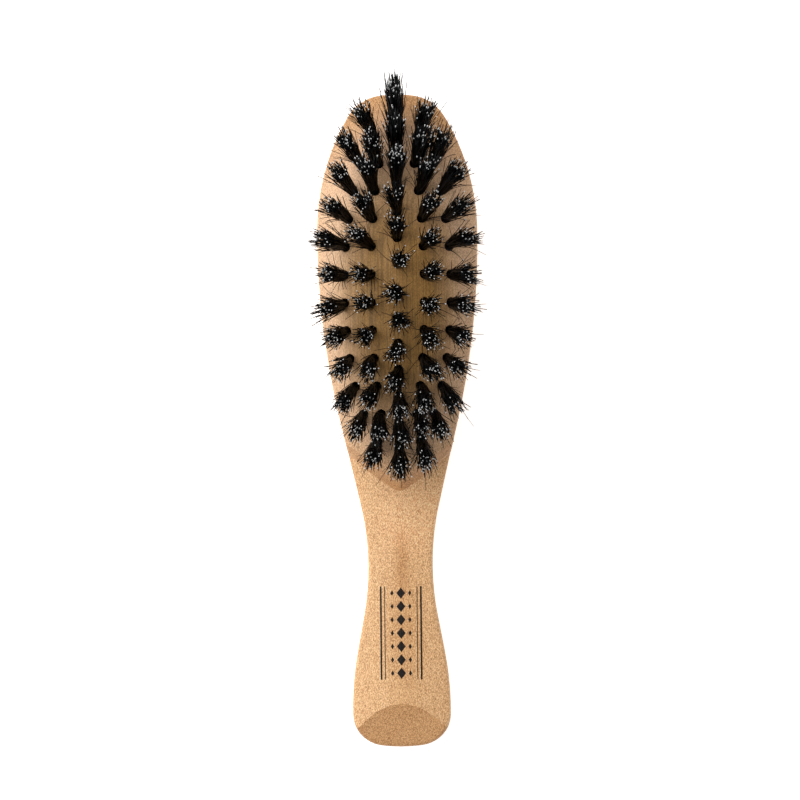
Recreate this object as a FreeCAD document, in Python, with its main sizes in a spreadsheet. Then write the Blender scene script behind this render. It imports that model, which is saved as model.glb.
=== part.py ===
"""Beard brush: a one-piece wooden body, 57 bristle tufts and the flat metal anchors that hold them.

The brush lies on its back: +Z is up through the bristles, +Y points to the toe and +X to the
right. The origin is on the flat back, half way along the wood. Sizes are in millimetres.

The body is turned into shape from one blank. Its outline is a chain of tangent arcs, the
bristle face is a crowned dome that stops at a V-shaped step, and the handle behind the step has
a crowned top with one flat facet at the butt. Each tuft is a bundle folded over a flat anchor,
which is driven across the bottom of a blind hole and bites into the wood on both sides.
"""

import FreeCAD
import Part
import Sketcher
import math
import os

# Alias, value, what it is. Lengths are in millimetres, angles in degrees.
DIMENSIONS = [
    ("body_length", 170.0, "toe to butt"),
    ("blank_thickness", 20.0, "blank, before the face is shaped"),
    ("toe_radius", 40.0, "end of the head"),
    ("shoulder_radius", 11.0, "corners of the head"),
    ("upper_flank_radius", 60.0, "head side, toe half"),
    ("lower_flank_radius", 220.0, "head side, handle half"),
    ("head_half_width", 20.85, "widest half width"),
    ("head_widest", 49.0, "Y of the widest place"),
    ("waist_radius", 69.0, "hollow sides of the neck"),
    ("waist_half_width", 8.4, "narrowest half width"),
    ("waist_place", -37.9, "Y of the narrowest place"),
    ("butt_flank_radius", 80.0, "sides of the butt"),
    ("butt_half_width", 12.75, "half width of the butt"),
    ("butt_widest", -75.0, "Y of the widest place of the butt"),
    ("corner_radius", 8.6, "corners of the butt"),
    ("end_radius", 38.0, "end of the butt"),
    ("dome_height", 15.5, "top of the bristle face"),
    ("dome_place", 36.7, "Y of the top of the bristle face"),
    ("dome_axis_depth", 24.5, "depth of the dome's turning axis below the back"),
    ("dome_toe_radius", 150.0, "lengthwise curve toward the toe"),
    ("dome_neck_radius", 270.0, "lengthwise curve toward the neck"),
    ("vee_tip_place", -18.7, "Y of the tip of the V step, at its foot"),
    ("vee_plane_height", 8.4, "height where the V's plan is drawn"),
    ("vee_tip_radius", 2.5, "rounded tip of the V"),
    ("vee_tip_half_angle", 34.0, "half turn of the rounded tip"),
    ("vee_leg_radius", 75.0, "slightly bowed legs of the V"),
    ("vee_leg_turn", 20.0, "turn of each leg, past the sides of the body"),
    ("vee_wall_draft", 48.0, "lean of the step from upright"),
    ("neck_low_place", -24.0, "Y of the lowest place of the handle's top"),
    ("neck_low_height", 8.5, "height of that place"),
    ("neck_scoop_radius", 90.0, "hollow in front of the step"),
    ("handle_end_height", 11.7, "top line of the handle, carried past the butt"),
    ("handle_axis_depth", 23.0, "depth of the handle's turning axis below the back"),
    ("handle_reach", 2.0, "Y where the handle ends inside the head"),
    ("facet_place", -73.2, "Y where the butt facet starts"),
    ("facet_height", 10.85, "height where the butt facet starts"),
    ("facet_angle", 14.0, "fall of the butt facet"),
    ("overrun", 5.0, "how far the cutting shapes run past the body"),
    ("face_edge_radius", 1.2, "rounded edge around the face"),
    ("back_edge_radius", 4.5, "rounded edge around the back"),
    ("hole_radius", 1.25, "tuft hole"),
    ("hole_depth", 7.0, "tuft hole, along its axis"),
    ("tuft_length", 16.0, "bristles, face to tip"),
    ("tuft_collar", 0.8, "straight stretch above the hole"),
    ("tuft_tip_radius", 2.3, "spread of the tips"),
    ("tuft_tip_rise", 1.5, "domed end of the tuft"),
    ("anchor_length", 3.3, "anchor strip, across the hole"),
    ("anchor_thickness", 0.35, "anchor strip"),
    ("anchor_height", 1.8, "anchor strip, along the hole"),
    ("anchor_seat", 1.3, "bristle fold below the anchor"),
    ("oval_place", 33.9, "Y of the middle of the tuft field"),
    ("oval_half_width", 13.7, "outer tuft columns at their widest"),
    ("oval_half_length", 42.9, "length of the oval the outer columns follow"),
    ("row_pitch", 7.15, "side rows"),
    ("centre_pitch", 6.75, "centre column"),
    ("centre_shift", 0.6, "centre column, toward the neck"),
    ("fan_place", 40.0, "Y where tufts stand upright"),
    ("fan_side_radius", 48.0, "spread of the tufts to the sides"),
    ("fan_side_easing", 1.4, "growth of that radius for each mm toward the neck"),
    ("fan_toe_radius", 58.0, "spread of the centre column toward the toe"),
    ("fan_toe_easing", 3.0, "growth of that radius for each mm to the side"),
    ("fan_toe_limit", 0.27, "greatest lean of the side tufts toward the toe, as a sine"),
    ("fan_neck_radius", 115.0, "spread of the tufts toward the neck"),
    ("fan_neck_limit", 0.25, "greatest lean toward the neck, as a sine"),
]

SIDE_ROWS = 12
CENTRE_TUFTS = 13

VALUE = {alias: value for alias, value, _ in DIMENSIONS}

doc = FreeCAD.newDocument("BeardBrush")


# ---- driving dimensions -------------------------------------------------------------------

def fill_sheet():
    """Writes every driving dimension into the spreadsheet under its alias."""
    sheet = doc.addObject("Spreadsheet::Sheet", "Dimensions")
    for row, (alias, value, meaning) in enumerate(DIMENSIONS, start=1):
        sheet.set(f"A{row}", meaning)
        sheet.set(f"B{row}", str(value))
        sheet.setAlias(f"B{row}", alias)
    doc.recompute()


def formula(text):
    """Turns [alias] in a formula into a reference to the spreadsheet."""
    return text.replace("[", "Dimensions.").replace("]", "")


def bind(item, **formulas):
    """Binds properties of a document object to formulas over the driving dimensions."""
    for path, text in formulas.items():
        item.setExpression(path.replace("__", "."), formula(text))


# ---- plane geometry -----------------------------------------------------------------------

def toward(start, end, distance):
    """The point a distance from start in the direction of end."""
    length = math.dist(start, end)
    return (
        start[0] + (end[0] - start[0]) * distance / length,
        start[1] + (end[1] - start[1]) * distance / length,
    )


def right_crossing(centre_a, radius_a, centre_b, radius_b):
    """Where two circles cross, on the right."""
    gap = math.dist(centre_a, centre_b)
    along = (gap**2 + radius_a**2 - radius_b**2) / (2 * gap)
    aside = math.sqrt(radius_a**2 - along**2)
    foot = toward(centre_a, centre_b, along)
    step_x = -(centre_b[1] - centre_a[1]) * aside / gap
    step_y = (centre_b[0] - centre_a[0]) * aside / gap
    crossings = [(foot[0] + step_x, foot[1] + step_y), (foot[0] - step_x, foot[1] - step_y)]
    return max(crossings)


def inner_tangent(bulge, bulge_radius, hollow, hollow_radius, turn):
    """Touching points of a line that passes between a bulging and a hollow circle."""
    gap = math.dist(bulge, hollow)
    bearing = math.atan2(hollow[1] - bulge[1], hollow[0] - bulge[0])
    angle = bearing + turn * math.acos((bulge_radius + hollow_radius) / gap)
    ray = (math.cos(angle), math.sin(angle))
    on_bulge = (bulge[0] + bulge_radius * ray[0], bulge[1] + bulge_radius * ray[1])
    on_hollow = (hollow[0] - hollow_radius * ray[0], hollow[1] - hollow_radius * ray[1])
    return on_bulge, on_hollow


# ---- sketches -----------------------------------------------------------------------------

class Profile:
    """A closed sketch, drawn edge by edge in one direction, with its sizes bound to the sheet."""

    START, END, CENTRE = 1, 2, 3

    def __init__(self, name, upright=False, height="0"):
        self.sketch = doc.addObject("Sketcher::SketchObject", name)
        self.ends = []
        if upright:
            # Sketch X runs along the brush and sketch Y runs up.
            turn = FreeCAD.Rotation(FreeCAD.Vector(1, 1, 1), 120)
            self.sketch.Placement = FreeCAD.Placement(FreeCAD.Vector(), turn)
        bind(self.sketch, Placement__Base__z=height)

    def line(self, start, end):
        edge = Part.LineSegment(FreeCAD.Vector(*start, 0), FreeCAD.Vector(*end, 0))
        self.ends.append((self.START, self.END))
        return self.sketch.addGeometry(edge, False)

    def arc(self, centre, radius, start, end, clockwise=True):
        """An arc from start to end. Sketch arcs run anticlockwise, so a clockwise one is flipped."""
        first, last = (end, start) if clockwise else (start, end)
        angle_a = math.atan2(first[1] - centre[1], first[0] - centre[0])
        angle_b = math.atan2(last[1] - centre[1], last[0] - centre[0])
        circle = Part.Circle(FreeCAD.Vector(*centre, 0), FreeCAD.Vector(0, 0, 1), radius)
        self.ends.append((self.END, self.START) if clockwise else (self.START, self.END))
        return self.sketch.addGeometry(Part.ArcOfCircle(circle, angle_a, angle_b), False)

    def rule(self, *terms):
        return self.sketch.addConstraint(Sketcher.Constraint(*terms))

    def size(self, text, *terms):
        """A dimensional constraint bound to a formula."""
        index = self.rule(*terms)
        self.sketch.setExpression(f"Constraints[{index}]", formula(text))

    def join(self, kind, first, second):
        """Joins the end of one edge to the start of the next."""
        self.rule(kind, first, self.ends[first][1], second, self.ends[second][0])

    def place_x(self, edge, point, value, text):
        self.size(text, "DistanceX", -1, 1, edge, point, value)

    def place_y(self, edge, point, value, text):
        self.size(text, "DistanceY", -1, 1, edge, point, value)

    def radius(self, edge, alias):
        self.size(f"[{alias}]", "Radius", edge, VALUE[alias])


def outline_sketch():
    """The body's outline: toe, shoulders, flanks, waist and butt, as tangent arcs and lines."""
    v = VALUE
    half_length = v["body_length"] / 2
    toe = (0.0, half_length - v["toe_radius"])
    upper = (v["head_half_width"] - v["upper_flank_radius"], v["head_widest"])
    lower = (v["head_half_width"] - v["lower_flank_radius"], v["head_widest"])
    shoulder = right_crossing(
        toe,
        v["toe_radius"] - v["shoulder_radius"],
        upper,
        v["upper_flank_radius"] - v["shoulder_radius"],
    )
    waist = (v["waist_half_width"] + v["waist_radius"], v["waist_place"])
    butt = (v["butt_half_width"] - v["butt_flank_radius"], v["butt_widest"])
    end = (0.0, v["end_radius"] - half_length)
    corner = right_crossing(
        end,
        v["end_radius"] - v["corner_radius"],
        butt,
        v["butt_flank_radius"] - v["corner_radius"],
    )

    toe_touch = toward(toe, shoulder, v["toe_radius"])
    upper_touch = toward(upper, shoulder, v["upper_flank_radius"])
    widest = (v["head_half_width"], v["head_widest"])
    heel_top, heel_foot = inner_tangent(
        lower, v["lower_flank_radius"], waist, v["waist_radius"], 1
    )
    flare_foot, flare_top = inner_tangent(
        butt, v["butt_flank_radius"], waist, v["waist_radius"], -1
    )
    corner_touch = toward(butt, corner, v["butt_flank_radius"])
    end_touch = toward(end, corner, v["end_radius"])

    def left(point):
        return (-point[0], point[1])

    p = Profile("OutlineSketch")
    toe_arc = p.arc(toe, v["toe_radius"], left(toe_touch), toe_touch)
    # Edge by edge down the right side: centre, radius, start, end. None marks a straight line.
    right_side = [
        (shoulder, "shoulder_radius", toe_touch, upper_touch, True),
        (upper, "upper_flank_radius", upper_touch, widest, True),
        (lower, "lower_flank_radius", widest, heel_top, True),
        (None, None, heel_top, heel_foot, True),
        (waist, "waist_radius", heel_foot, flare_top, False),
        (None, None, flare_top, flare_foot, True),
        (butt, "butt_flank_radius", flare_foot, corner_touch, True),
        (corner, "corner_radius", corner_touch, end_touch, True),
    ]
    right_edges = []
    for centre, alias, start, stop, clockwise in right_side:
        if centre is None:
            right_edges.append(p.line(start, stop))
        else:
            right_edges.append(p.arc(centre, v[alias], start, stop, clockwise))
            p.radius(right_edges[-1], alias)
    end_arc = p.arc(end, v["end_radius"], end_touch, left(end_touch))
    left_edges = []
    for (centre, alias, start, stop, clockwise), twin in zip(right_side[::-1], right_edges[::-1]):
        if centre is None:
            left_edges.append(p.line(left(stop), left(start)))
        else:
            edge = p.arc(left(centre), v[alias], left(stop), left(start), clockwise)
            p.rule("Equal", twin, edge)
            left_edges.append(edge)

    loop = [toe_arc, *right_edges, end_arc, *left_edges]
    for first, second in zip(loop, loop[1:] + loop[:1]):
        p.join("Tangent", first, second)

    centre_point = Profile.CENTRE
    p.radius(toe_arc, "toe_radius")
    p.radius(end_arc, "end_radius")
    for arc, place, text in (
        (toe_arc, toe[1], "[body_length] / 2 - [toe_radius]"),
        (end_arc, end[1], "[end_radius] - [body_length] / 2"),
    ):
        p.rule("PointOnObject", arc, centre_point, -2)
        p.place_y(arc, centre_point, place, text)
    # The edges whose places are given; the edges between them follow from tangency.
    _, upper_edge, _, _, waist_edge, _, butt_edge, _ = right_edges
    placed = (
        (upper_edge, upper, "[head_half_width] - [upper_flank_radius]", "[head_widest]"),
        (waist_edge, waist, "[waist_half_width] + [waist_radius]", "[waist_place]"),
        (butt_edge, butt, "[butt_half_width] - [butt_flank_radius]", "[butt_widest]"),
    )
    for edge, centre, across, along in placed:
        p.place_x(edge, centre_point, centre[0], across)
        p.place_y(edge, centre_point, centre[1], along)
        twin = left_edges[len(right_edges) - 1 - right_edges.index(edge)]
        p.rule("Symmetric", edge, centre_point, twin, centre_point, -2)
    # The two flank arcs of each side meet at the widest place.
    left_upper_edge = left_edges[-2]
    p.place_y(upper_edge, p.ends[upper_edge][1], widest[1], "[head_widest]")
    p.place_y(left_upper_edge, p.ends[left_upper_edge][0], widest[1], "[head_widest]")
    return p.sketch


def dome_sketch():
    """Half section of the dome's turned surface: two lengthwise arcs that meet at its top."""
    v = VALUE
    reach = v["body_length"] / 2 + v["overrun"]
    top = (v["dome_place"], v["dome_height"])
    neck_centre = (top[0], top[1] - v["dome_neck_radius"])
    toe_centre = (top[0], top[1] - v["dome_toe_radius"])
    floor = -v["dome_axis_depth"]

    def on_circle(centre, radius, place):
        return (place, centre[1] + math.sqrt(radius**2 - (place - centre[0]) ** 2))

    neck_end = on_circle(neck_centre, v["dome_neck_radius"], -v["body_length"] / 4)
    toe_end = on_circle(toe_centre, v["dome_toe_radius"], reach)
    p = Profile("DomeSketch", upright=True)
    neck_arc = p.arc(neck_centre, v["dome_neck_radius"], neck_end, top)
    toe_arc = p.arc(toe_centre, v["dome_toe_radius"], top, toe_end)
    toe_wall = p.line(toe_end, (toe_end[0], floor))
    axis_line = p.line((toe_end[0], floor), (neck_end[0], floor))
    neck_wall = p.line((neck_end[0], floor), neck_end)
    p.join("Tangent", neck_arc, toe_arc)
    for first, second in (
        (toe_arc, toe_wall),
        (toe_wall, axis_line),
        (axis_line, neck_wall),
        (neck_wall, neck_arc),
    ):
        p.join("Coincident", first, second)
    p.rule("Vertical", toe_wall)
    p.rule("Vertical", neck_wall)
    p.rule("Horizontal", axis_line)
    p.radius(neck_arc, "dome_neck_radius")
    p.radius(toe_arc, "dome_toe_radius")
    for arc in (neck_arc, toe_arc):
        p.place_x(arc, Profile.CENTRE, top[0], "[dome_place]")
    p.place_y(neck_arc, Profile.CENTRE, neck_centre[1], "[dome_height] - [dome_neck_radius]")
    p.place_x(axis_line, Profile.START, reach, "[body_length] / 2 + [overrun]")
    p.place_y(axis_line, Profile.START, floor, "-[dome_axis_depth]")
    p.place_x(axis_line, Profile.END, neck_end[0], "-[body_length] / 4")
    return p.sketch


def vee_sketch():
    """Plan of the raised bristle face: a V with a rounded tip and slightly bowed legs."""
    v = VALUE
    tip_angle = math.radians(v["vee_tip_half_angle"])
    leg_angle = math.radians(v["vee_tip_half_angle"] + v["vee_leg_turn"])
    tip_centre = (0.0, v["vee_tip_place"] + v["vee_tip_radius"])
    tip_end = (
        v["vee_tip_radius"] * math.sin(tip_angle),
        tip_centre[1] - v["vee_tip_radius"] * math.cos(tip_angle),
    )
    leg_centre = toward(tip_end, tip_centre, v["vee_leg_radius"])
    leg_end = (
        leg_centre[0] + v["vee_leg_radius"] * math.sin(leg_angle),
        leg_centre[1] - v["vee_leg_radius"] * math.cos(leg_angle),
    )
    far = (v["body_length"] / 4, v["body_length"] / 2 + 4 * v["overrun"])

    def left(point):
        return (-point[0], point[1])

    p = Profile("VeeSketch", height="[vee_plane_height]")
    tip_arc = p.arc(tip_centre, v["vee_tip_radius"], left(tip_end), tip_end, clockwise=False)
    right_leg = p.arc(leg_centre, v["vee_leg_radius"], tip_end, leg_end, clockwise=False)
    right_shelf = p.line(leg_end, (far[0], leg_end[1]))
    right_wall = p.line((far[0], leg_end[1]), far)
    top_wall = p.line(far, left(far))
    left_wall = p.line(left(far), (-far[0], leg_end[1]))
    left_shelf = p.line((-far[0], leg_end[1]), left(leg_end))
    left_leg = p.arc(left(leg_centre), v["vee_leg_radius"], left(leg_end), left(tip_end), False)
    p.join("Tangent", left_leg, tip_arc)
    p.join("Tangent", tip_arc, right_leg)
    for first, second in (
        (right_leg, right_shelf),
        (right_shelf, right_wall),
        (right_wall, top_wall),
        (top_wall, left_wall),
        (left_wall, left_shelf),
        (left_shelf, left_leg),
    ):
        p.join("Coincident", first, second)
    for edge in (right_shelf, top_wall, left_shelf):
        p.rule("Horizontal", edge)
    for edge in (right_wall, left_wall):
        p.rule("Vertical", edge)
    tip_sine = "sin([vee_tip_half_angle] * 1 deg)"
    tip_cosine = "cos([vee_tip_half_angle] * 1 deg)"
    leg_sine = "sin(([vee_tip_half_angle] + [vee_leg_turn]) * 1 deg)"
    end_across = f"([vee_tip_radius] - [vee_leg_radius]) * {tip_sine} + [vee_leg_radius] * {leg_sine}"
    p.radius(tip_arc, "vee_tip_radius")
    p.radius(right_leg, "vee_leg_radius")
    p.rule("Equal", right_leg, left_leg)
    p.rule("PointOnObject", tip_arc, Profile.CENTRE, -2)
    p.place_y(tip_arc, Profile.CENTRE, tip_centre[1], "[vee_tip_place] + [vee_tip_radius]")
    p.place_x(tip_arc, Profile.END, tip_end[0], f"[vee_tip_radius] * {tip_sine}")
    p.place_x(tip_arc, Profile.START, -tip_end[0], f"-[vee_tip_radius] * {tip_sine}")
    p.place_x(right_leg, Profile.END, leg_end[0], end_across)
    p.place_x(left_leg, Profile.START, -leg_end[0], f"-({end_across})")
    p.place_x(right_wall, Profile.END, far[0], "[body_length] / 4")
    p.place_y(right_wall, Profile.END, far[1], "[body_length] / 2 + 4 * [overrun]")
    p.place_x(left_wall, Profile.START, -far[0], "-[body_length] / 4")
    return p.sketch


def handle_sketch():
    """Half section of the handle's turned top: a straight rise, then a scoop up to the head."""
    v = VALUE
    back = -v["body_length"] / 2 - v["overrun"]
    floor = -v["handle_axis_depth"]
    scoop = (v["neck_low_place"], v["neck_low_height"] + v["neck_scoop_radius"])
    line_start = (back, v["handle_end_height"])
    bearing = math.atan2(line_start[1] - scoop[1], line_start[0] - scoop[0])
    touch_angle = bearing + math.acos(v["neck_scoop_radius"] / math.dist(scoop, line_start))
    touch = (
        scoop[0] + v["neck_scoop_radius"] * math.cos(touch_angle),
        scoop[1] + v["neck_scoop_radius"] * math.sin(touch_angle),
    )
    drop = math.sqrt(v["neck_scoop_radius"] ** 2 - (v["handle_reach"] - scoop[0]) ** 2)
    scoop_end = (v["handle_reach"], scoop[1] - drop)

    p = Profile("HandleSketch", upright=True)
    top_line = p.line(line_start, touch)
    scoop_arc = p.arc(scoop, v["neck_scoop_radius"], touch, scoop_end, clockwise=False)
    head_wall = p.line(scoop_end, (scoop_end[0], floor))
    axis_line = p.line((scoop_end[0], floor), (back, floor))
    butt_wall = p.line((back, floor), line_start)
    p.join("Tangent", top_line, scoop_arc)
    for first, second in (
        (scoop_arc, head_wall),
        (head_wall, axis_line),
        (axis_line, butt_wall),
        (butt_wall, top_line),
    ):
        p.join("Coincident", first, second)
    p.rule("Vertical", head_wall)
    p.rule("Vertical", butt_wall)
    p.rule("Horizontal", axis_line)
    p.radius(scoop_arc, "neck_scoop_radius")
    p.place_x(scoop_arc, Profile.CENTRE, scoop[0], "[neck_low_place]")
    p.place_y(scoop_arc, Profile.CENTRE, scoop[1], "[neck_low_height] + [neck_scoop_radius]")
    p.place_x(axis_line, Profile.START, scoop_end[0], "[handle_reach]")
    p.place_y(axis_line, Profile.START, floor, "-[handle_axis_depth]")
    p.place_x(axis_line, Profile.END, back, "-[body_length] / 2 - [overrun]")
    p.place_y(top_line, Profile.START, line_start[1], "[handle_end_height]")
    return p.sketch


def facet_sketch():
    """Side view of what the butt facet takes away: everything above one falling line."""
    v = VALUE
    slope = math.tan(math.radians(v["facet_angle"]))
    back = -v["body_length"] / 2 - v["overrun"]
    front = v["facet_place"] + 2 * v["overrun"]
    low = (back, v["facet_height"] + slope * (back - v["facet_place"]))
    high = (front, v["facet_height"] + slope * 2 * v["overrun"])
    roof = 2 * v["blank_thickness"]
    p = Profile("FacetSketch", upright=True)
    facet = p.line(low, high)
    front_wall = p.line(high, (front, roof))
    roof_line = p.line((front, roof), (back, roof))
    back_wall = p.line((back, roof), low)
    edges = (facet, front_wall, roof_line, back_wall)
    for first, second in zip(edges, edges[1:] + edges[:1]):
        p.join("Coincident", first, second)
    p.rule("Vertical", front_wall)
    p.rule("Vertical", back_wall)
    p.rule("Horizontal", roof_line)
    fall = "tan([facet_angle] * 1 deg)"
    low_text = f"[facet_height] - {fall} * ([body_length] / 2 + [overrun] + [facet_place])"
    p.place_x(facet, Profile.START, back, "-[body_length] / 2 - [overrun]")
    p.place_y(facet, Profile.START, low[1], low_text)
    p.place_x(facet, Profile.END, front, "[facet_place] + 2 * [overrun]")
    p.place_y(facet, Profile.END, high[1], f"[facet_height] + {fall} * 2 * [overrun]")
    p.place_y(roof_line, Profile.START, roof, "2 * [blank_thickness]")
    return p.sketch


def tuft_sketch():
    """Half section of a tuft: a straight root and collar, a flare and a domed end."""
    v = VALUE
    root, collar = -v["hole_depth"], v["tuft_collar"]
    rim = (v["tuft_tip_radius"], v["tuft_length"] - v["tuft_tip_rise"])
    end_radius = (rim[0] ** 2 + v["tuft_tip_rise"] ** 2) / (2 * v["tuft_tip_rise"])
    end_centre = (0.0, v["tuft_length"] - end_radius)
    tip = (0.0, v["tuft_length"])
    p = Profile("TuftSketch", upright=True)
    axis_line = p.line((0.0, root), tip)
    end_arc = p.arc(end_centre, end_radius, tip, rim)
    flare = p.line(rim, (v["hole_radius"], collar))
    root_wall = p.line((v["hole_radius"], collar), (v["hole_radius"], root))
    root_floor = p.line((v["hole_radius"], root), (0.0, root))
    edges = (axis_line, end_arc, flare, root_wall, root_floor)
    for first, second in zip(edges, edges[1:] + edges[:1]):
        p.join("Coincident", first, second)
    p.rule("PointOnObject", axis_line, Profile.START, -2)
    p.rule("Vertical", axis_line)
    p.rule("Vertical", root_wall)
    p.rule("Horizontal", root_floor)
    p.rule("PointOnObject", end_arc, Profile.CENTRE, -2)
    p.place_y(axis_line, Profile.START, root, "-[hole_depth]")
    p.place_y(axis_line, Profile.END, tip[1], "[tuft_length]")
    p.place_x(flare, Profile.START, rim[0], "[tuft_tip_radius]")
    p.place_y(flare, Profile.START, rim[1], "[tuft_length] - [tuft_tip_rise]")
    p.place_x(flare, Profile.END, v["hole_radius"], "[hole_radius]")
    p.place_y(flare, Profile.END, collar, "[tuft_collar]")
    return p.sketch


# ---- solids -------------------------------------------------------------------------------

def add(kind, name, **values):
    """Adds a document object and sets its plain properties."""
    item = doc.addObject(kind, name)
    for key, value in values.items():
        setattr(item, key, value)
    return item


def turned(name, sketch, axis_depth):
    """A solid of revolution about an axis along the brush, below the back, its seam underneath."""
    solid = add(
        "Part::Revolution", name, Source=sketch, Angle=360.0, Solid=True, Symmetric=True
    )
    solid.Axis = FreeCAD.Vector(0, 1, 0)
    bind(solid, Base__z=f"-[{axis_depth}]")
    return solid


def extruded(name, sketch, direction, **formulas):
    solid = add("Part::Extrusion", name, Base=sketch, DirMode="Custom", Solid=True)
    solid.Dir = FreeCAD.Vector(*direction)
    bind(solid, **formulas)
    return solid


def rounded(name, base, alias, chosen):
    """Rounds the chosen edges of a solid with one radius from the sheet."""
    doc.recompute()
    numbers = [
        index
        for index, edge in enumerate(base.Shape.Edges, start=1)
        if chosen(base.Shape, edge)
    ]
    solid = add("Part::Fillet", name, Base=base)
    solid.Edges = [(number, VALUE[alias], VALUE[alias]) for number in numbers]
    return solid


def on_back(_, edge):
    return edge.BoundBox.ZMax < 0.01


def rise(face, point):
    """How far a face looks up at a point: 0 for an upright wall, 1 for a level top."""
    u, v = face.Surface.parameter(point)
    return face.normalAt(u, v).z


def around_face(shape, edge):
    """True for an edge between the upright outline and the crowned top."""
    middle = edge.valueAt((edge.FirstParameter + edge.LastParameter) / 2)
    faces = shape.ancestorsOfType(edge, Part.Face)
    walls = [f for f in faces if abs(rise(f, middle)) < 0.02 and f.BoundBox.YLength > 0.01]
    tops = [f for f in faces if rise(f, middle) > 0.7]
    return len(walls) == 1 and len(tops) == 1


def wood_form():
    """The shaped body, before drilling."""
    outline = outline_sketch()
    blank = extruded("Blank", outline, (0, 0, 1), LengthFwd="[blank_thickness]")
    dome = turned("DomeBarrel", dome_sketch(), "dome_axis_depth")
    vee = extruded(
        "VeeBlock",
        vee_sketch(),
        (0, 0, 1),
        LengthFwd="[blank_thickness] - [vee_plane_height] / 2",
        LengthRev="[vee_plane_height]",
        TaperAngle="-[vee_wall_draft]",
    )
    handle = turned("HandleBarrel", handle_sketch(), "handle_axis_depth")
    facet = extruded(
        "FacetCutter", facet_sketch(), (1, 0, 0), LengthFwd="[body_length] / 2"
    )
    facet.Symmetric = True
    head_block = add("Part::MultiCommon", "HeadBlock", Shapes=[blank, dome, vee])
    handle_block = add("Part::MultiCommon", "HandleBlock", Shapes=[blank, handle])
    faceted = add("Part::Cut", "FacetedHandle", Base=handle_block, Tool=facet)
    soft_head = rounded("SoftHead", head_block, "face_edge_radius", around_face)
    soft_handle = rounded("SoftHandle", faceted, "face_edge_radius", around_face)
    joined = add("Part::MultiFuse", "JoinedWood", Shapes=[soft_head, soft_handle], Refine=True)
    return rounded("WoodForm", joined, "back_edge_radius", on_back)


# ---- the tuft field -----------------------------------------------------------------------

def face_height(across, along):
    """Height of the dome above a place on the back."""
    v = VALUE
    radius = v["dome_toe_radius"] if along > v["dome_place"] else v["dome_neck_radius"]
    sink = radius - math.sqrt(radius**2 - (along - v["dome_place"]) ** 2)
    crown = v["dome_height"] - sink + v["dome_axis_depth"]
    return math.sqrt(crown**2 - across**2) - v["dome_axis_depth"]


def tuft_places():
    """Name and place on the face of every tuft."""
    v = VALUE
    places = []
    middle = v["oval_place"] - v["centre_shift"]
    for number in range(CENTRE_TUFTS):
        along = middle + (number - (CENTRE_TUFTS - 1) / 2) * v["centre_pitch"]
        places.append((f"tuft_centre_{number + 1:02d}", 0.0, along))
    for row in range(SIDE_ROWS):
        step = (row - (SIDE_ROWS - 1) / 2) * v["row_pitch"]
        along = v["oval_place"] + step
        outer = v["oval_half_width"] * math.sqrt(1 - (step / v["oval_half_length"]) ** 2)
        for side, sign in (("left", -1), ("right", 1)):
            places.append((f"tuft_outer_{side}_{row + 1:02d}", sign * outer, along))
            if 0 < row < SIDE_ROWS - 1:
                places.append((f"tuft_inner_{side}_{row:02d}", sign * outer / 2, along))
    return places


def tuft_frame(across, along):
    """Placement of a tuft: origin on the face, Z along the bristles, fanned out like them."""
    v = VALUE
    offset = along - v["fan_place"]
    lean_x = across / (v["fan_side_radius"] + v["fan_side_easing"] * max(-offset, 0.0))
    if offset > 0:
        lean_y = offset / (v["fan_toe_radius"] + v["fan_toe_easing"] * abs(across))
        if across:
            lean_y = min(lean_y, v["fan_toe_limit"])
    else:
        lean_y = max(offset / v["fan_neck_radius"], -v["fan_neck_limit"])
    axis = FreeCAD.Vector(lean_x, lean_y, math.sqrt(1 - lean_x**2 - lean_y**2))
    turn = FreeCAD.Rotation(FreeCAD.Vector(0, 0, 1), axis)
    return FreeCAD.Placement(FreeCAD.Vector(across, along, face_height(across, along)), turn)


def lowered(frame, x, y, z):
    """A tuft's placement, moved along its own axes."""
    return frame * FreeCAD.Placement(FreeCAD.Vector(x, y, z), FreeCAD.Rotation())


def tuft_parts(name, frame, sketch):
    """One tuft, with the hole that takes it and the anchor that holds it."""
    v = VALUE
    hole = add("Part::Cylinder", f"hole_{name}")
    bind(hole, Radius="[hole_radius]", Height="[hole_depth] + 2 * [hole_radius]")
    hole.Placement = lowered(frame, 0, 0, -v["hole_depth"])

    anchor = add("Part::Box", f"anchor_{name}")
    bind(anchor, Length="[anchor_thickness]", Width="[anchor_length]", Height="[anchor_height]")
    anchor.Placement = lowered(
        frame,
        -v["anchor_thickness"] / 2,
        -v["anchor_length"] / 2,
        v["anchor_seat"] - v["hole_depth"],
    )

    bundle = add("Part::Revolution", f"bundle_{name}", Source=sketch, Angle=360.0, Solid=True)
    bundle.Axis = FreeCAD.Vector(0, 0, 1)
    bundle.Placement = frame
    tuft = add("Part::Cut", name, Base=bundle, Tool=anchor)
    tuft.Label = name
    return hole, anchor, tuft


def build():
    """Builds every sub-part and returns them by node name."""
    fill_sheet()
    form = wood_form()
    sketch = tuft_sketch()
    nodes = {}
    holes, anchors = [], []
    for name, across, along in tuft_places():
        hole, anchor, tuft = tuft_parts(name, tuft_frame(across, along), sketch)
        holes.append(hole)
        anchors.append(anchor)
        nodes[name] = tuft
    anchor_set = add("Part::Compound", "tuft_anchors", Links=anchors, Label="tuft_anchors")
    hole_set = add("Part::Compound", "TuftHoles", Links=holes)
    drilled = add("Part::Cut", "DrilledWood", Base=form, Tool=hole_set)
    body = add("Part::Cut", "brush_body", Base=drilled, Tool=anchor_set, Label="brush_body")
    nodes["tuft_anchors"] = anchor_set
    nodes["brush_body"] = body
    doc.recompute()
    return nodes


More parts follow.
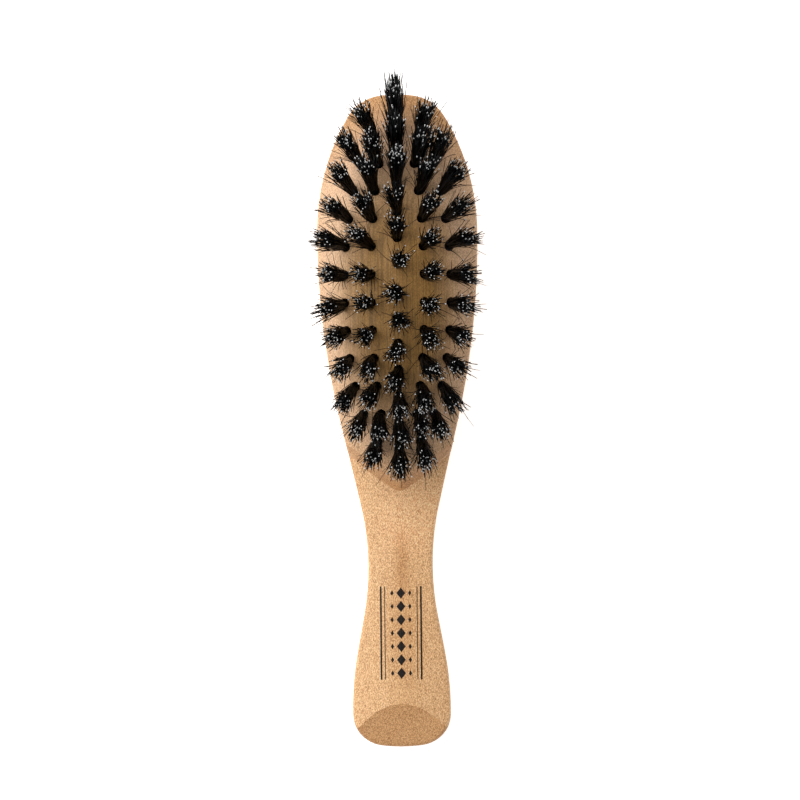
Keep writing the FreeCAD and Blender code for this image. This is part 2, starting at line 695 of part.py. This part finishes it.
def check(nodes):
    """Stops if any object of the document failed or any sub-part has no valid shape."""
    for item in doc.Objects:
        if "Invalid" in item.State or "Error" in item.State:
            raise RuntimeError(f"{item.Name} failed: {item.State}")
    for name, item in nodes.items():
        if item.Shape.isNull() or not item.Shape.isValid():
            raise RuntimeError(f"{name} has no valid shape")


def export(nodes):
    os.makedirs("parts", exist_ok=True)
    for name, item in nodes.items():
        item.Shape.exportStep(f"parts/{name}.step")


nodes = build()
check(nodes)
export(nodes)
wood = nodes["brush_body"].Shape
box = wood.optimalBoundingBox(False, False)
print(f"{len(nodes)} nodes; wood {box.XLength:.2f} x {box.YLength:.2f} x {box.ZLength:.2f} mm")
print(f"wood volume {wood.Volume / 1000:.2f} cm3, {len(wood.Solids)} solid")
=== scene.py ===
"""Beard brush on its back, seen from straight above: bristle bundles, wood and a printed ornament.

The wood and the anchors are the CAD nodes with better materials. Every CAD tuft is replaced by a
bundle of separate bristles, grown along the axis of its solid. Lengths are in metres, and MM turns
millimetres into them.
"""

import math

import bpy
import numpy as np
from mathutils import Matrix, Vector
from mathutils.bvhtree import BVHTree


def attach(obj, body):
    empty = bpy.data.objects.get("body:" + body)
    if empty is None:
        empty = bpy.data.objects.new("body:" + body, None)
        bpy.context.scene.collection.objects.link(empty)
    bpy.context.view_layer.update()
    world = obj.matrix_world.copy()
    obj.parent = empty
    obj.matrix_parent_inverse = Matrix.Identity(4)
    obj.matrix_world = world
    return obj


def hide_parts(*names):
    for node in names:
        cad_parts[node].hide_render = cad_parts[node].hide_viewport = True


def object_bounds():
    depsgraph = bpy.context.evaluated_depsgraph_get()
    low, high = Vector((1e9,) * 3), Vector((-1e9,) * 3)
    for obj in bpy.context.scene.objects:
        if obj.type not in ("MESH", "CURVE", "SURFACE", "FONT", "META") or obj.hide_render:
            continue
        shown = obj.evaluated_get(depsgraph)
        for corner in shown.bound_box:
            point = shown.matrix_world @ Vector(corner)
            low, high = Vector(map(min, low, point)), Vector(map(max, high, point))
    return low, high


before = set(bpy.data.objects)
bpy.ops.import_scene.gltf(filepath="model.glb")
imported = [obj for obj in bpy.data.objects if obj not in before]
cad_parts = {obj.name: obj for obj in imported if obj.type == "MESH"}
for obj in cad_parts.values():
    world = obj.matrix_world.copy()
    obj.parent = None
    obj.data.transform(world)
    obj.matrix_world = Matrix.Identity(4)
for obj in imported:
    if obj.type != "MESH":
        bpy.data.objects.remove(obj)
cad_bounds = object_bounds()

MM = 0.001
ROOT = "root"

# ---- sizes of the bristles ----------------------------------------------------------------

# A pair is the two ends of a range that a random value is drawn from or, in LENGTH_LIMITS, kept in.
SEED = 20
BRISTLES = 150
BRISTLE_STEPS = 8
BRISTLE_SIDES = 4
BRISTLE_RADIUS = 0.115 * MM
BRISTLE_TIP_RADIUS = 0.085 * MM

# Strays are thinner and leave the bundle. Cut ends are flat, and some are wider and painted pale: a
# painted highlight for the light they catch.
STRAY_SHARE = 0.08
STRAY_RADIUS = 0.10 * MM
STRAY_TIP_RADIUS = 0.05 * MM
STRAY_WAY_OUT = (1.5 * MM, 5.0 * MM)
STRAY_LENGTH = (0.6, 1.12)
CUT_END_SHARE = 0.22
CUT_END_RADIUS = 0.14 * MM
CUT_END_GLINT = (0.4, 1.0)

# A bundle starts ROOT_DEPTH inside its hole and flares out, its rim more than its middle. Its lean
# is a share of its length, and DROOP is how far a bristle can droop in a bundle that lies flat.
HOLE_DEPTH = 7.0 * MM
ROOT_DEPTH = 2.5 * MM
BUNDLE_RADIUS = 1.08 * MM
TIP_RADIUS = 2.05 * MM
TIP_RADIUS_FACTOR = (0.88, 1.12)
MIDDLE_SPREAD = 0.9
RIM_SPREAD = 1.2
STRETCH = (0.0, 0.25)
LEAN_SPREAD = 0.03
DROOP = 19.0 * MM

# How the bristles of one bundle differ. The turn is in radians, and the jitter's freedom is that
# of Student's t: a low one sends more tips far off. Lengths are shares of the CAD tuft's length.
TURN_SPREAD = 0.3
TIP_JITTER = 0.40 * MM
TIP_JITTER_FREEDOM = 3
TIP_JITTER_LIMIT = 2.2 * MM
LENGTH_MEAN = 0.94
LENGTH_SPREAD = 0.05
LENGTH_LIMITS = (0.75, 1.04)
BOW_SPREAD = 0.25 * MM
CURL_SPREAD = 0.3 * MM

# Powers of a value from 0 to 1: the higher, the later a bristle flares or curls, and the fewer
# bristles droop or look grey, a grey that is partly a painted sheen.
FLARE_POWER = 1.5
CURL_POWER = 4
DROOP_POWER = 2
GREY_POWER = 4

# ---- places on the wood -------------------------------------------------------------------

# Ovals of another tone, as seen from above: x, y, half width, half length, share that is core. Two
# of them are painted light: painted shade among the tufts and a painted pool of light on the neck.
FACE_OVAL = (0.0, 33.0 * MM, 30.0 * MM, 50.0 * MM, 0.8)
# Painted shade: the wood among the tufts is darkened, and its grain lines darker still, as where
# the bristles shade it.
TUFT_SHADE_OVAL = (0.0, 31.0 * MM, 17.0 * MM, 38.0 * MM, 0.5)
STREAK_OVAL = (0.4 * MM, -37.0 * MM, 2.2 * MM, 11.0 * MM, 0.0)
HEARTWOOD_OVAL = (0.8 * MM, -54.0 * MM, 6.5 * MM, 27.0 * MM, 0.2)
# Painted light: a lighter patch on the neck that makes up for light the scene does not bring there.
NECK_LIGHT_OVAL = (6.0 * MM, -24.0 * MM, 14.0 * MM, 13.0 * MM, 0.3)

# The ornament. Each rule: its distance from the middle and its half width. Each diamond: its half
# width and its half length.
PRINT_PLACE = -55.0 * MM
PRINT_LENGTH = 24.0 * MM
PRINT_RISE = 0.03 * MM
PRINT_DEPTH = 0.03 * MM
RULES = [(5.2 * MM, 0.22 * MM), (4.2 * MM, 0.10 * MM)]
RULE_PIECES = 16
DIAMOND_ROWS = 7
LARGE_DIAMOND = (1.15 * MM, 1.45 * MM)
SMALL_DIAMOND = (0.42 * MM, 0.75 * MM)
SMALL_DIAMOND_PLACE = 2.3 * MM

# ---- camera, light and floor --------------------------------------------------------------

# The picture spans VIEW_WIDTH in the plane at VIEW_PLANE above the floor, CAMERA_DISTANCE below
# the camera. Blender takes the width of the sensor in its own millimetres.
CAMERA_DISTANCE = 400.0 * MM
CAMERA_ROLL = math.radians(-0.58)
SENSOR_WIDTH = 36.0
VIEW_WIDTH = 209.0 * MM
VIEW_PLANE = 6.0 * MM
VIEW_CENTRE = (0.3 * MM, 5.3 * MM)

# Places and the size of the key light are in metres, and its power is in watts.
WORLD_STRENGTH = 0.39
KEY_PLACE = (-0.44, 0.28, 0.62)
KEY_AIM = (0.0, 0.02, 0.0)
KEY_SIZE = 1.1
KEY_POWER = 7.6

FLOOR_HALF_WIDTH = 1500.0 * MM
FLOOR_GAP = 0.02 * MM


# ---- material nodes -----------------------------------------------------------------------

class Nodes:
    """A short way to write a node tree. Most methods add nodes and return the last one's output."""

    def __init__(self, name):
        self.material = bpy.data.materials.new(name)
        self.material.use_nodes = True
        self.tree = self.material.node_tree
        self.shader = self.tree.nodes["Principled BSDF"]

    def add(self, kind, inputs=None, output=0, **settings):
        node = self.tree.nodes.new(kind)
        for key, value in settings.items():
            setattr(node, key, value)
        for key, value in (inputs or {}).items():
            self.feed(node.inputs[key], value)
        return node.outputs[output]

    def feed(self, socket, value):
        if isinstance(value, bpy.types.NodeSocket):
            self.tree.links.new(value, socket)
        else:
            socket.default_value = value

    def stretched(self, scale):
        """Object coordinates in millimetres, times a scale for each axis."""
        place = self.add("ShaderNodeTexCoord", output="Object")
        size = tuple(value / MM for value in scale)
        return self.add("ShaderNodeMapping", {"Vector": place, "Scale": size})

    def noise(self, scale, detail=2.0, roughness=0.5, distortion=0.0):
        """Noise whose cells are 1/scale millimetres long on each axis."""
        return self.add(
            "ShaderNodeTexNoise",
            {
                "Vector": self.stretched(scale),
                "Scale": 1.0,
                "Detail": detail,
                "Roughness": roughness,
                "Distortion": distortion,
            },
            output="Fac",
        )

    def remap(self, value, low, high, new_low=0.0, new_high=1.0):
        return self.add(
            "ShaderNodeMapRange",
            {
                "Value": value,
                "From Min": low,
                "From Max": high,
                "To Min": new_low,
                "To Max": new_high,
            },
        )

    def math(self, operation, first, second=0.0):
        return self.add("ShaderNodeMath", {0: first, 1: second}, operation=operation)

    def blend(self, factor, first, second, mode="MIX"):
        """Mixes two colours, with the sockets that the Mix node has for colours."""
        node = self.tree.nodes.new("ShaderNodeMix")
        node.data_type = "RGBA"
        node.blend_type = mode
        self.feed(node.inputs[0], factor)
        self.feed(node.inputs[6], first)
        self.feed(node.inputs[7], second)
        return node.outputs[2]

    def oval(self, x, y, half_width, half_length, core):
        """1 in the core of an oval column that stands on the floor, fading to 0 at its rim."""
        place = self.add("ShaderNodeTexCoord", output="Object")
        local = self.add(
            "ShaderNodeMapping",
            {
                "Vector": place,
                "Location": (-x / half_width, -y / half_length, 0.0),
                "Scale": (1 / half_width, 1 / half_length, 0.0),
            },
        )
        distance = self.add("ShaderNodeVectorMath", {0: local}, output="Value", operation="LENGTH")
        return self.remap(distance, 1.0, core)

    def bump(self, height, strength, distance):
        return self.add(
            "ShaderNodeBump",
            {"Height": height, "Strength": strength, "Distance": distance},
        )

    def finish(self, **inputs):
        for key, value in inputs.items():
            self.feed(self.shader.inputs[key.replace("_", " ")], value)
        return self.material


def colour(red, green, blue):
    return (red, green, blue, 1.0)


WHITE = colour(1.0, 1.0, 1.0)


# ---- materials ----------------------------------------------------------------------------

def grain_noises(n):
    """The noises that the wood is made of, from broad to fine."""
    return {
        "clouds": n.noise((0.05, 0.03, 0.05), detail=2.0),
        "figure": n.noise((0.16, 0.012, 0.22), detail=3.0, distortion=0.6),
        "streaks": n.noise((1.1, 0.055, 1.1), detail=3.0, roughness=0.6),
        "lines": n.noise((2.4, 0.03, 2.4), detail=3.0, roughness=0.6),
        "flecks": n.noise((5.2, 1.4, 5.2), detail=2.0, roughness=0.65),
        "specks": n.noise((5.0, 2.4, 5.0), detail=2.0, roughness=0.7),
        "pores": n.noise((6.5, 0.8, 6.5), detail=1.0),
    }


def grain_tone(n, noises):
    """Pale and rosy maple under layers of finer grain."""
    pale = colour(0.77, 0.422, 0.188)
    rosy = colour(0.69, 0.352, 0.152)
    tone = n.blend(n.remap(noises["figure"], 0.35, 0.65), pale, rosy)
    # Each layer: its noise, where it starts to show, where it is full, how strong it is, its tone.
    layers = [
        ("clouds", 0.35, 0.70, 0.40, colour(0.64, 0.335, 0.158)),
        ("streaks", 0.40, 0.72, 0.45, colour(0.54, 0.262, 0.102)),
        ("lines", 0.48, 0.66, 0.55, colour(0.50, 0.250, 0.085)),
        ("flecks", 0.46, 0.60, 0.90, colour(0.39, 0.180, 0.064)),
        ("specks", 0.46, 0.57, 0.97, colour(1.0, 0.655, 0.345)),
        ("pores", 0.60, 0.72, 0.60, colour(0.33, 0.160, 0.070)),
    ]
    for name, start, full, strength, layer_tone in layers:
        tone = n.blend(n.remap(noises[name], start, full, 0.0, strength), tone, layer_tone)
    return tone


def cut_slopes_with_shade(n, tone, normal):
    """Darkens slopes that face the toe or the butt, where the grain is cut across: partly end
    grain, partly painted shade on those slopes.
    """
    lengthwise = n.add("ShaderNodeSeparateXYZ", {0: normal}, output="Y")
    across = n.remap(n.math("ABSOLUTE", lengthwise), 0.14, 0.27)
    # End grain and painted shade together, on slopes that face the toe or the butt.
    end_grain_with_shade = n.blend(across, WHITE, colour(0.75, 0.66, 0.56))
    return n.blend(1.0, tone, end_grain_with_shade, "MULTIPLY")


def patched(n, tone, normal, lines):
    """Lays the patches of another tone on what looks up: the back keeps its own tone. Among them
    are painted shade among the tufts and painted light on the neck.
    """
    upward = n.remap(n.add("ShaderNodeSeparateXYZ", {0: normal}, output="Z"), 0.2, 0.6)
    face, tuft_shade, streak, heartwood, neck_light = (
        n.math("MULTIPLY", upward, n.oval(*oval))
        for oval in (FACE_OVAL, TUFT_SHADE_OVAL, STREAK_OVAL, HEARTWOOD_OVAL, NECK_LIGHT_OVAL)
    )
    # Painted shade among the tufts, darker still along the grain lines.
    tuft_shade_lines = n.math("MULTIPLY", tuft_shade, n.remap(lines, 0.46, 0.6, 0.0, 0.6))
    tone = n.blend(n.math("MULTIPLY", face, 0.35), tone, colour(0.82, 0.57, 0.42))
    tone = n.blend(tuft_shade, tone, colour(0.72, 0.59, 0.26), "MULTIPLY")
    tone = n.blend(tuft_shade_lines, tone, colour(0.26, 0.14, 0.04))
    tone = n.blend(streak, tone, colour(0.80, 0.70, 0.60), "MULTIPLY")
    tone = n.blend(heartwood, tone, colour(0.86, 0.80, 0.72), "MULTIPLY")
    # Painted light on the neck, lifting the tone above the wood's own colour.
    tone = n.blend(neck_light, tone, colour(1.22, 1.15, 1.18), "MULTIPLY")
    return n.blend(1.0, tone, WHITE, "DARKEN")


def wood_material():
    """Maple: its grain, darker where it is cut across as end grain and as painted shade, with a
    patch of painted shade among the tufts and a patch of painted light on the neck.
    """
    n = Nodes("maple")
    noises = grain_noises(n)
    normal = n.add("ShaderNodeNewGeometry", output="Normal")
    tone = cut_slopes_with_shade(n, grain_tone(n, noises), normal)
    raised = n.math("MULTIPLY", noises["flecks"], 0.6)
    sunk = n.math("MULTIPLY", noises["pores"], -0.8)
    return n.finish(
        Base_Color=patched(n, tone, normal, noises["lines"]),
        Roughness=n.remap(noises["streaks"], 0.3, 0.7, 0.42, 0.56),
        Normal=n.bump(n.math("ADD", raised, sunk), 0.25, 0.04 * MM),
        Specular_IOR_Level=0.35,
    )


def bristle_material():
    """Boar bristle: near black, a few greyer ones that are partly a painted sheen, some with a pale
    cut end that is a painted highlight.
    """
    n = Nodes("boar_bristle")
    along, shade, painted_glint = (
        n.add("ShaderNodeAttribute", output="Fac", attribute_name=name)
        for name in ("along", "shade", "painted_glint")
    )
    black = colour(0.0006, 0.0008, 0.0012)
    # Greyer bristles: partly their own colour, partly a painted sheen of light along the stems.
    grey = colour(0.040, 0.041, 0.044)
    dark_tip = colour(0.010, 0.010, 0.010)
    # Painted highlight: the pale colour of the glinting cut ends.
    glint_tip_colour = colour(0.88, 0.88, 0.87)
    stem = n.blend(shade, black, grey)
    tip = n.blend(painted_glint, dark_tip, glint_tip_colour)
    wear = n.noise((5.0, 5.0, 5.0), detail=2.0)
    return n.finish(
        Base_Color=n.blend(n.remap(along, 0.965, 1.0), stem, tip),
        Roughness=n.remap(wear, 0.3, 0.7, 0.25, 0.42),
        Specular_IOR_Level=0.025,
    )


def anchor_material():
    """Drawn brass strip with fine lengthwise marks."""
    n = Nodes("drawn_brass")
    marks = n.noise((12.0, 0.6, 12.0), detail=3.0)
    tarnish = n.noise((0.9, 0.9, 0.9), detail=2.0)
    bright = colour(0.78, 0.60, 0.30)
    dull = colour(0.60, 0.42, 0.20)
    return n.finish(
        Base_Color=n.blend(tarnish, bright, dull),
        Metallic=1.0,
        Roughness=n.remap(marks, 0.3, 0.7, 0.25, 0.42),
        Normal=n.bump(marks, 0.1, 0.01 * MM),
    )


def ink_material():
    """Near-black pad print, worn to brown in places."""
    n = Nodes("pad_print_ink")
    wear = n.noise((4.5, 1.6, 4.5), detail=3.0, roughness=0.7)
    solid = colour(0.006, 0.005, 0.005)
    worn = colour(0.07, 0.04, 0.02)
    return n.finish(
        Base_Color=n.blend(n.remap(wear, 0.5, 0.75), solid, worn),
        Roughness=n.remap(wear, 0.3, 0.7, 0.5, 0.7),
        Specular_IOR_Level=0.2,
    )


def floor_material():
    """White sweep, lit enough from within to stay white under the brush."""
    n = Nodes("white_sweep")
    grain = n.noise((0.2, 0.2, 0.2), detail=2.0)
    tone = n.blend(grain, colour(0.93, 0.93, 0.93), colour(0.95, 0.95, 0.95))
    return n.finish(
        Base_Color=tone,
        Roughness=0.9,
        Specular_IOR_Level=0.0,
        Emission_Color=WHITE,
        Emission_Strength=0.7,
    )


# ---- meshes -------------------------------------------------------------------------------

def add_piece(name, vertices, faces, material, values=None):
    """A mesh object that rides on the brush, with optional values at its vertices."""
    mesh = bpy.data.meshes.new(name)
    mesh.from_pydata(vertices, [], faces)
    for key, numbers in (values or {}).items():
        mesh.attributes.new(key, "FLOAT", "POINT").data.foreach_set("value", numbers)
    mesh.materials.append(material)
    mesh.update()
    piece = bpy.data.objects.new(name, mesh)
    bpy.context.scene.collection.objects.link(piece)
    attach(piece, ROOT)
    return piece


def tuft_nodes():
    return sorted(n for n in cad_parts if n.startswith("tuft_") and n != "tuft_anchors")


def tuft_axis(node):
    """Hole mouth, direction and length of a tuft, from its CAD solid's own vertices.

    A tuft is longest along its axis, so that is the first direction in which its vertices spread.
    """
    points = np.array([v.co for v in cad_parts[node].data.vertices])
    middle = (points.max(0) + points.min(0)) / 2
    _, _, rows = np.linalg.svd(points - points.mean(0), full_matrices=False)
    axis = rows[0] * np.sign(rows[0][2])
    reach = (points - middle) @ axis
    mouth = middle + axis * (reach.min() + HOLE_DEPTH)
    return mouth, axis, reach.max() - reach.min() - HOLE_DEPTH


def perpendicular(axis):
    """Two directions square to the axis and to each other."""
    side = np.cross(axis, (0.0, 1.0, 0.0))
    side /= np.linalg.norm(side)
    return side, np.cross(axis, side)


def on_circle(angle, radius):
    """Points at these angles and distances from the middle, one to a row."""
    return np.stack([radius * np.cos(angle), radius * np.sin(angle)], 1)


def bristle_paths(rng, length, stray, outward):
    """Middle lines of one bundle's bristles, in its own frame: bristles x steps x 3."""
    count = BRISTLES

    # Roots fill the hole's circle evenly, each a golden angle further round than the last.
    spot = np.arange(count) + 0.5
    golden_angle = math.pi * (3 - math.sqrt(5))
    turn = spot * golden_angle + rng.normal(0, TURN_SPREAD, count)
    base = on_circle(turn, np.sqrt(spot / count) * BUNDLE_RADIUS)

    # The bundle as a whole leans a little and is wider one way than the other.
    lean = rng.normal(0, LEAN_SPREAD, 2) * length
    way = rng.uniform(0, math.pi)
    long_way = np.array([math.cos(way), math.sin(way)])
    spread = TIP_RADIUS / BUNDLE_RADIUS * rng.uniform(*TIP_RADIUS_FACTOR)
    stretch = rng.uniform(*STRETCH)
    growth = MIDDLE_SPREAD + (RIM_SPREAD - MIDDLE_SPREAD) * spot / count
    tip = base * spread * growth[:, None]
    tip += np.outer(tip @ long_way, long_way) * stretch
    jitter = rng.standard_t(TIP_JITTER_FREEDOM, (count, 2)) * TIP_JITTER
    tip += lean + np.clip(jitter, -TIP_JITTER_LIMIT, TIP_JITTER_LIMIT)

    # Bundles that lean let some of their bristles droop further out.
    droop = rng.random((count, 1)) ** DROOP_POWER * DROOP
    tip += droop * np.linalg.norm(outward) * outward

    # Strays leave the bundle, mostly near their tips.
    swing = rng.uniform(0, 2 * math.pi, count)
    away = on_circle(swing, rng.uniform(*STRAY_WAY_OUT, count))
    tip += away * stray[:, None]

    reach = length * np.clip(rng.normal(LENGTH_MEAN, LENGTH_SPREAD, count), *LENGTH_LIMITS)
    reach *= np.where(stray, rng.uniform(*STRAY_LENGTH, count), 1.0)
    bow = rng.normal(0, BOW_SPREAD, (count, 2))
    curl = rng.normal(0, CURL_SPREAD, (count, 2))
    steps = np.linspace(0, 1, BRISTLE_STEPS)
    flat = (
        base[:, None, :]
        + (tip - base)[:, None, :] * (steps**FLARE_POWER)[None, :, None]
        + bow[:, None, :] * np.sin(steps * math.pi)[None, :, None]
        + curl[:, None, :] * (steps**CURL_POWER)[None, :, None]
    )
    rise = -ROOT_DEPTH + (reach + ROOT_DEPTH)[:, None] * steps[None, :]
    return np.concatenate([flat, rise[:, :, None]], 2)


def tubes(paths, widths):
    """Closed tubes around many paths, with a radius for each step. Returns vertices and faces.

    Walls and caps fit in one array of faces because a bristle has four sides.
    """
    count, steps, _ = paths.shape
    sides = BRISTLE_SIDES
    heading = paths[:, -1] - paths[:, 0]
    heading /= np.linalg.norm(heading, axis=1, keepdims=True)
    side = np.cross(heading, (0.0, 1.0, 0.0))
    side /= np.linalg.norm(side, axis=1, keepdims=True)
    other = np.cross(heading, side)
    angle = np.arange(sides) * 2 * math.pi / sides
    ring = (
        side[:, None, :] * np.cos(angle)[None, :, None]
        + other[:, None, :] * np.sin(angle)[None, :, None]
    )
    points = paths[:, :, None, :] + ring[:, None, :, :] * widths[:, :, None, None]
    first = np.arange(count)[:, None, None] * steps * sides
    row = np.arange(steps - 1)[None, :, None] * sides
    corner = np.arange(sides)[None, None, :]
    after = (corner + 1) % sides
    low = first + row
    high = low + sides
    walls = np.stack([low + corner, low + after, high + after, high + corner], 3)
    start = first[:, 0]
    root_caps = start + np.arange(sides)[::-1]
    tip_caps = start + (steps - 1) * sides + np.arange(sides)
    return points.reshape(-1, 3), np.concatenate([walls.reshape(-1, 4), root_caps, tip_caps])


def grow_tuft(node, number, material):
    """Replaces one CAD tuft with its bundle of bristles."""
    rng = np.random.default_rng(SEED + number)
    mouth, axis, length = tuft_axis(node)
    side, other = perpendicular(axis)
    stray = rng.random(BRISTLES) < STRAY_SHARE
    # Bristles whose cut end gets a painted highlight and a wider end.
    painted_glint = (rng.random(BRISTLES) < CUT_END_SHARE) & ~stray
    paths = bristle_paths(rng, length, stray, np.array([-side[2], -other[2]]))
    placed = (
        mouth
        + paths[:, :, 0:1] * side
        + paths[:, :, 1:2] * other
        + paths[:, :, 2:3] * axis
    )
    along = np.linspace(0, 1, BRISTLE_STEPS)
    root_width = np.where(stray, STRAY_RADIUS, BRISTLE_RADIUS)
    tip_width = np.where(stray, STRAY_TIP_RADIUS, BRISTLE_TIP_RADIUS)
    widths = root_width[:, None] + (tip_width - root_width)[:, None] * along**2
    widths[painted_glint, -1] = CUT_END_RADIUS
    vertices, faces = tubes(placed, widths)
    per_bristle = BRISTLE_STEPS * BRISTLE_SIDES
    # How strong each painted highlight on a cut end is.
    glint = painted_glint * rng.uniform(*CUT_END_GLINT, BRISTLES)
    values = {
        "along": np.tile(np.repeat(along, BRISTLE_SIDES), BRISTLES),
        # Greyness of each bristle, partly a painted sheen.
        "shade": np.repeat(rng.random(BRISTLES) ** GREY_POWER, per_bristle),
        "painted_glint": np.repeat(glint, per_bristle),
    }
    name = node.replace("tuft", "bristles")
    piece = add_piece(name, vertices.tolist(), faces.tolist(), material, values)
    walls = BRISTLES * (BRISTLE_STEPS - 1) * BRISTLE_SIDES
    ends = len(faces) - walls
    piece.data.polygons.foreach_set("use_smooth", [True] * walls + [False] * ends)
    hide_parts(node)


# ---- printed ornament ---------------------------------------------------------------------

def lozenge(x, y, half_width, half_length):
    """Outline of a small diamond, with a point at each end."""
    return [
        (x, y - half_length),
        (x + half_width, y),
        (x, y + half_length),
        (x - half_width, y),
    ]


def rule(x, y_start, y_end, half_width):
    """Outlines of a thin line along the handle, in short pieces so that it follows the curve."""
    left = x - half_width
    right = x + half_width
    places = np.linspace(y_start, y_end, RULE_PIECES + 1)
    return [
        [(left, low), (right, low), (right, high), (left, high)]
        for low, high in zip(places[:-1], places[1:])
    ]


def ornament_outlines():
    """A double rule on each side, and between them rows of a large diamond and two small ones."""
    start = PRINT_PLACE - PRINT_LENGTH / 2
    end = PRINT_PLACE + PRINT_LENGTH / 2
    outlines = []
    for sign in (-1, 1):
        for x, half_width in RULES:
            outlines += rule(sign * x, start, end, half_width)
    for row in range(DIAMOND_ROWS):
        y = start + (row + 0.5) * PRINT_LENGTH / DIAMOND_ROWS
        outlines.append(lozenge(0.0, y, *LARGE_DIAMOND))
        for sign in (-1, 1):
            outlines.append(lozenge(sign * SMALL_DIAMOND_PLACE, y, *SMALL_DIAMOND))
    return outlines


def print_ornament(material):
    """Thin closed patches of ink laid on the handle's top surface."""
    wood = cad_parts["brush_body"]
    surface = BVHTree.FromPolygons(
        [v.co for v in wood.data.vertices], [tuple(p.vertices) for p in wood.data.polygons]
    )
    top = cad_bounds[1][2]
    down = Vector((0, 0, -1))
    vertices = []
    faces = []
    for outline in ornament_outlines():
        first = len(vertices)
        size = len(outline)
        for offset in (PRINT_RISE, PRINT_RISE - PRINT_DEPTH):
            for x, y in outline:
                hit = surface.ray_cast(Vector((x, y, top)), down)[0]
                vertices.append((x, y, hit.z + offset))
        faces.append([first + k for k in range(size)])
        faces.append([first + size + k for k in reversed(range(size))])
        for k in range(size):
            after = (k + 1) % size
            faces.append([first + after, first + k, first + size + k, first + size + after])
    add_piece("printed_ornament", vertices, faces, material)


# ---- stage --------------------------------------------------------------------------------

def add_floor(material):
    """A wide white floor just under the back of the brush."""
    half = FLOOR_HALF_WIDTH
    mesh = bpy.data.meshes.new("floor")
    corners = [(-half, -half, 0), (half, -half, 0), (half, half, 0), (-half, half, 0)]
    mesh.from_pydata(corners, [], [(0, 1, 2, 3)])
    mesh.materials.append(material)
    floor = bpy.data.objects.new("floor", mesh)
    floor.location.z = -FLOOR_GAP
    bpy.context.scene.collection.objects.link(floor)


def add_key_light():
    """One large soft lamp above the brush, on its left and toward the toe."""
    lamp = bpy.data.lights.new("key", "AREA")
    lamp.shape = "DISK"
    lamp.size = KEY_SIZE
    lamp.energy = KEY_POWER
    light = bpy.data.objects.new("key", lamp)
    light.location = KEY_PLACE
    aim = Vector(KEY_AIM) - Vector(KEY_PLACE)
    light.rotation_euler = aim.to_track_quat("-Z", "Y").to_euler()
    bpy.context.scene.collection.objects.link(light)


def add_world():
    world = bpy.data.worlds.new("studio")
    world.use_nodes = True
    background = world.node_tree.nodes["Background"]
    background.inputs["Color"].default_value = WHITE
    background.inputs["Strength"].default_value = WORLD_STRENGTH
    bpy.context.scene.world = world


def add_camera():
    """Straight above the brush, turned a little, as in the photograph."""
    data = bpy.data.cameras.new("camera")
    data.sensor_width = SENSOR_WIDTH
    data.lens = data.sensor_width * CAMERA_DISTANCE / VIEW_WIDTH
    camera = bpy.data.objects.new("camera", data)
    camera.location = (*VIEW_CENTRE, VIEW_PLANE + CAMERA_DISTANCE)
    camera.rotation_euler = (0, 0, CAMERA_ROLL)
    bpy.context.scene.collection.objects.link(camera)
    bpy.context.scene.camera = camera


# ---- the scene ----------------------------------------------------------------------------

def dress(node, material):
    """Gives a CAD node its material."""
    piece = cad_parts[node]
    piece.data.materials.clear()
    piece.data.materials.append(material)


add_camera()
add_world()
add_key_light()
add_floor(floor_material())
bpy.context.scene.view_settings.view_transform = "Standard"

dress("brush_body", wood_material())
dress("tuft_anchors", anchor_material())
boar = bristle_material()
for number, node in enumerate(tuft_nodes()):
    grow_tuft(node, number, boar)
print_ornament(ink_material())
